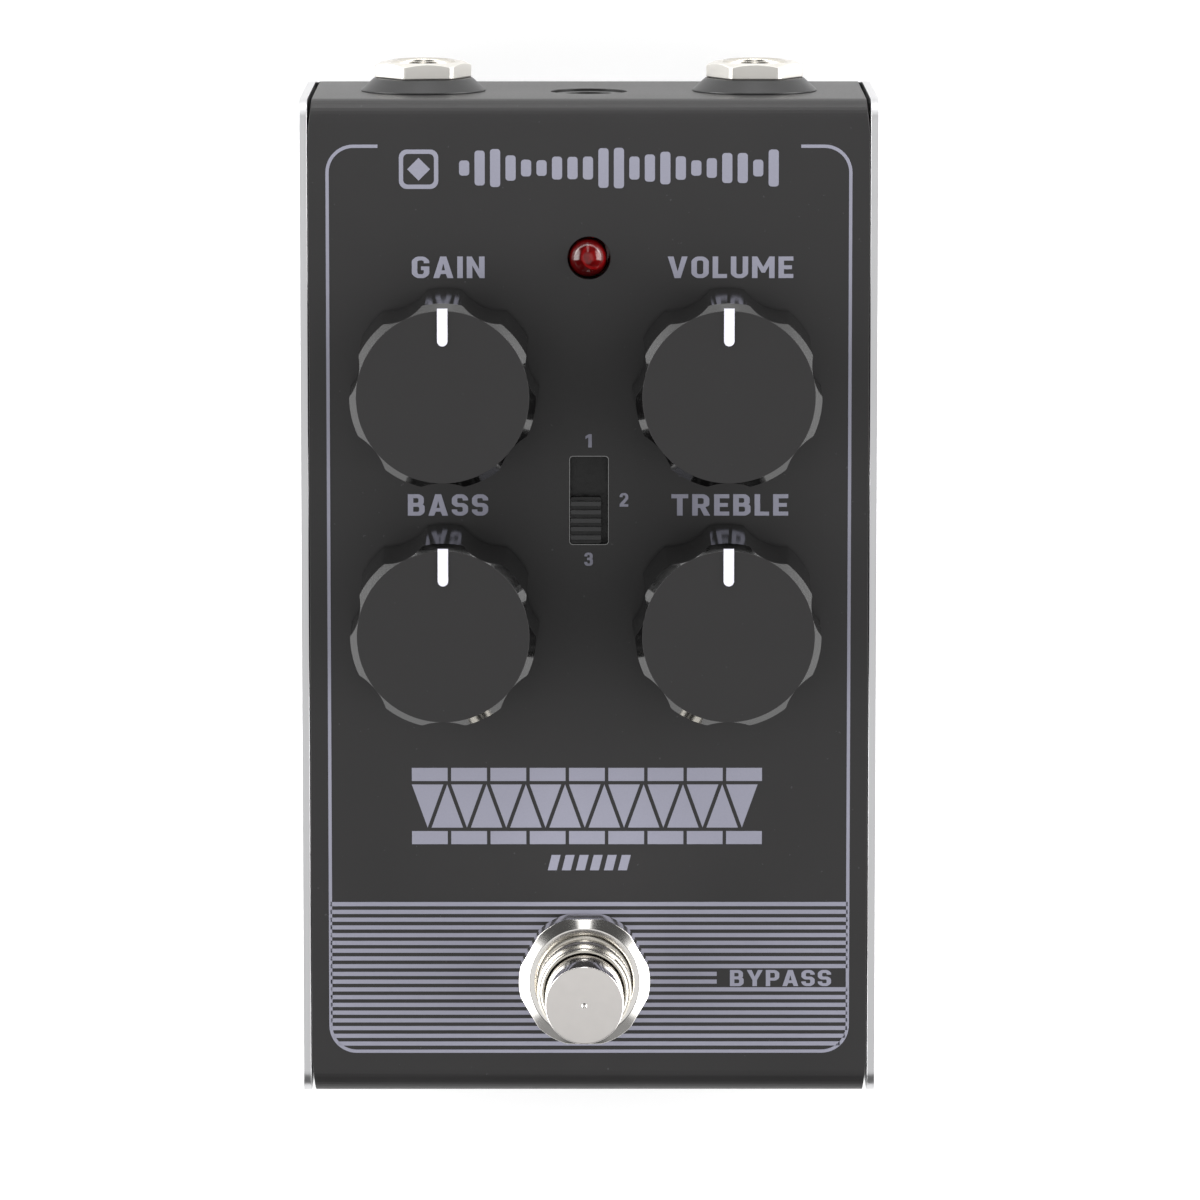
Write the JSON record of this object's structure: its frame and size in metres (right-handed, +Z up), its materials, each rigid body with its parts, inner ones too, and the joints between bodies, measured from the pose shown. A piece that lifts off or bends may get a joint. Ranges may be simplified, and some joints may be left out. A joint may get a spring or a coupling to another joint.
{
  "type": "guitar effects pedal",
  "caption": "Compact foot-operated effects box: folded cover over a bare metal tray, rotary controls, a slide switch, a lamp, a push switch, jacks and a power inlet on the rear wall.",
  "frame": {"origin": "on the surface that the feet stand on, below the middle of the overall box", "axes": "+Z up out of the control face, +Y towards the rear wall with the jacks, +X to the right as seen from above with the jacks at the top"},
  "size_m": [0.0734, 0.132, 0.058],
  "materials": {
    "black_paint": "satin charcoal paint with a very fine texture",
    "bare_metal": "bare folded sheet, lightly brushed along its length",
    "black_screw": "black-plated screw",
    "foot_rubber": "soft black rubber",
    "board_green": "green solder mask",
    "nickel": "nickel plate",
    "polished_nickel": "polished nickel with turning marks on the top",
    "tinned_steel": "tinned steel",
    "switch_black": "moulded black lever",
    "lamp_red": "dark red tinted epoxy",
    "spring_steel": "drawn spring wire",
    "switch_blue": "moulded blue housing",
    "socket_white": "off-white nylon",
    "ribbon_grey": "grey flat cable",
    "moulded_black": "satin moulded black plastic",
    "contact_brass": "sprung brass",
    "pot_can": "pressed metal can",
    "shaft_metal": "turned shaft",
    "knob_black": "satin top, glossy sides",
    "pointer_white": "cool white bar",
    "capacitor_sleeve": "dark shrink sleeve",
    "film_red": "dipped film capacitor",
    "chip_black": "moulded chip"
  },
  "bodies": {
    "case": {"amplifier_chips": "chip_black", "bottom_tray": "bare_metal", "cable_headers": "socket_white", "capacitors": "capacitor_sleeve", "case_screws": "black_screw", "control_board": "board_green", "film_capacitors": "film_red", "footswitch_board": "board_green", "footswitch_bushing": "nickel", "footswitch_housing": "switch_blue", "footswitch_inner_nut": "nickel", "footswitch_lugs": "tinned_steel", "footswitch_nut": "nickel", "footswitch_spring": "spring_steel", "footswitch_washer": "nickel", "input_jack_housing": "moulded_black", "input_jack_sleeve": "nickel", "jack_contacts": "contact_brass", "jack_nuts": "nickel", "jack_washers": "moulded_black", "led_leads": "tinned_steel", "output_jack_housing": "moulded_black", "output_jack_sleeve": "nickel", "pot_bass": "pot_can", "pot_gain": "pot_can", "pot_nuts": "nickel", "pot_treble": "pot_can", "pot_volume": "pot_can", "pot_washers": "nickel", "power_inlet_housing": "moulded_black", "power_inlet_pin": "nickel", "ribbon_cable": "ribbon_grey", "rubber_feet": "foot_rubber", "slide_switch_body": "tinned_steel", "status_led": "lamp_red", "top_cover": "black_paint"},
    "gain_knob": {"knob_gain": "knob_black", "pointer_gain": "pointer_white", "shaft_gain": "shaft_metal"},
    "volume_knob": {"knob_volume": "knob_black", "pointer_volume": "pointer_white", "shaft_volume": "shaft_metal"},
    "bass_knob": {"knob_bass": "knob_black", "pointer_bass": "pointer_white", "shaft_bass": "shaft_metal"},
    "treble_knob": {"knob_treble": "knob_black", "pointer_treble": "pointer_white", "shaft_treble": "shaft_metal"},
    "switch_lever": {"slide_switch_lever": "switch_black"},
    "foot_button": {"footswitch_plunger": "polished_nickel"}
  },
  "joints": [
    {"name": "gain_turn", "type": "hinge", "parent": "case", "child": "gain_knob", "pos_m": [-0.0183, 0.0262, 0.0365], "axis": [0, 0, 1], "range_deg": [-150, 150]},
    {"name": "volume_turn", "type": "hinge", "parent": "case", "child": "volume_knob", "pos_m": [0.0175, 0.0262, 0.0365], "axis": [0, 0, 1], "range_deg": [-150, 150]},
    {"name": "bass_turn", "type": "hinge", "parent": "case", "child": "bass_knob", "pos_m": [-0.0183, -0.004, 0.0365], "axis": [0, 0, 1], "range_deg": [-150, 150]},
    {"name": "treble_turn", "type": "hinge", "parent": "case", "child": "treble_knob", "pos_m": [0.0175, -0.004, 0.0365], "axis": [0, 0, 1], "range_deg": [-150, 150]},
    {"name": "voicing_slide", "type": "slide", "parent": "case", "child": "switch_lever", "axis": [0, 1, 0], "range_m": [0, 0.005]},
    {"name": "bypass_press", "type": "slide", "parent": "case", "child": "foot_button", "axis": [0, 0, -1], "range_m": [0, 0.003], "stiffness_N_per_m": 2500, "deforming": ["footswitch_spring"]}
  ]
}
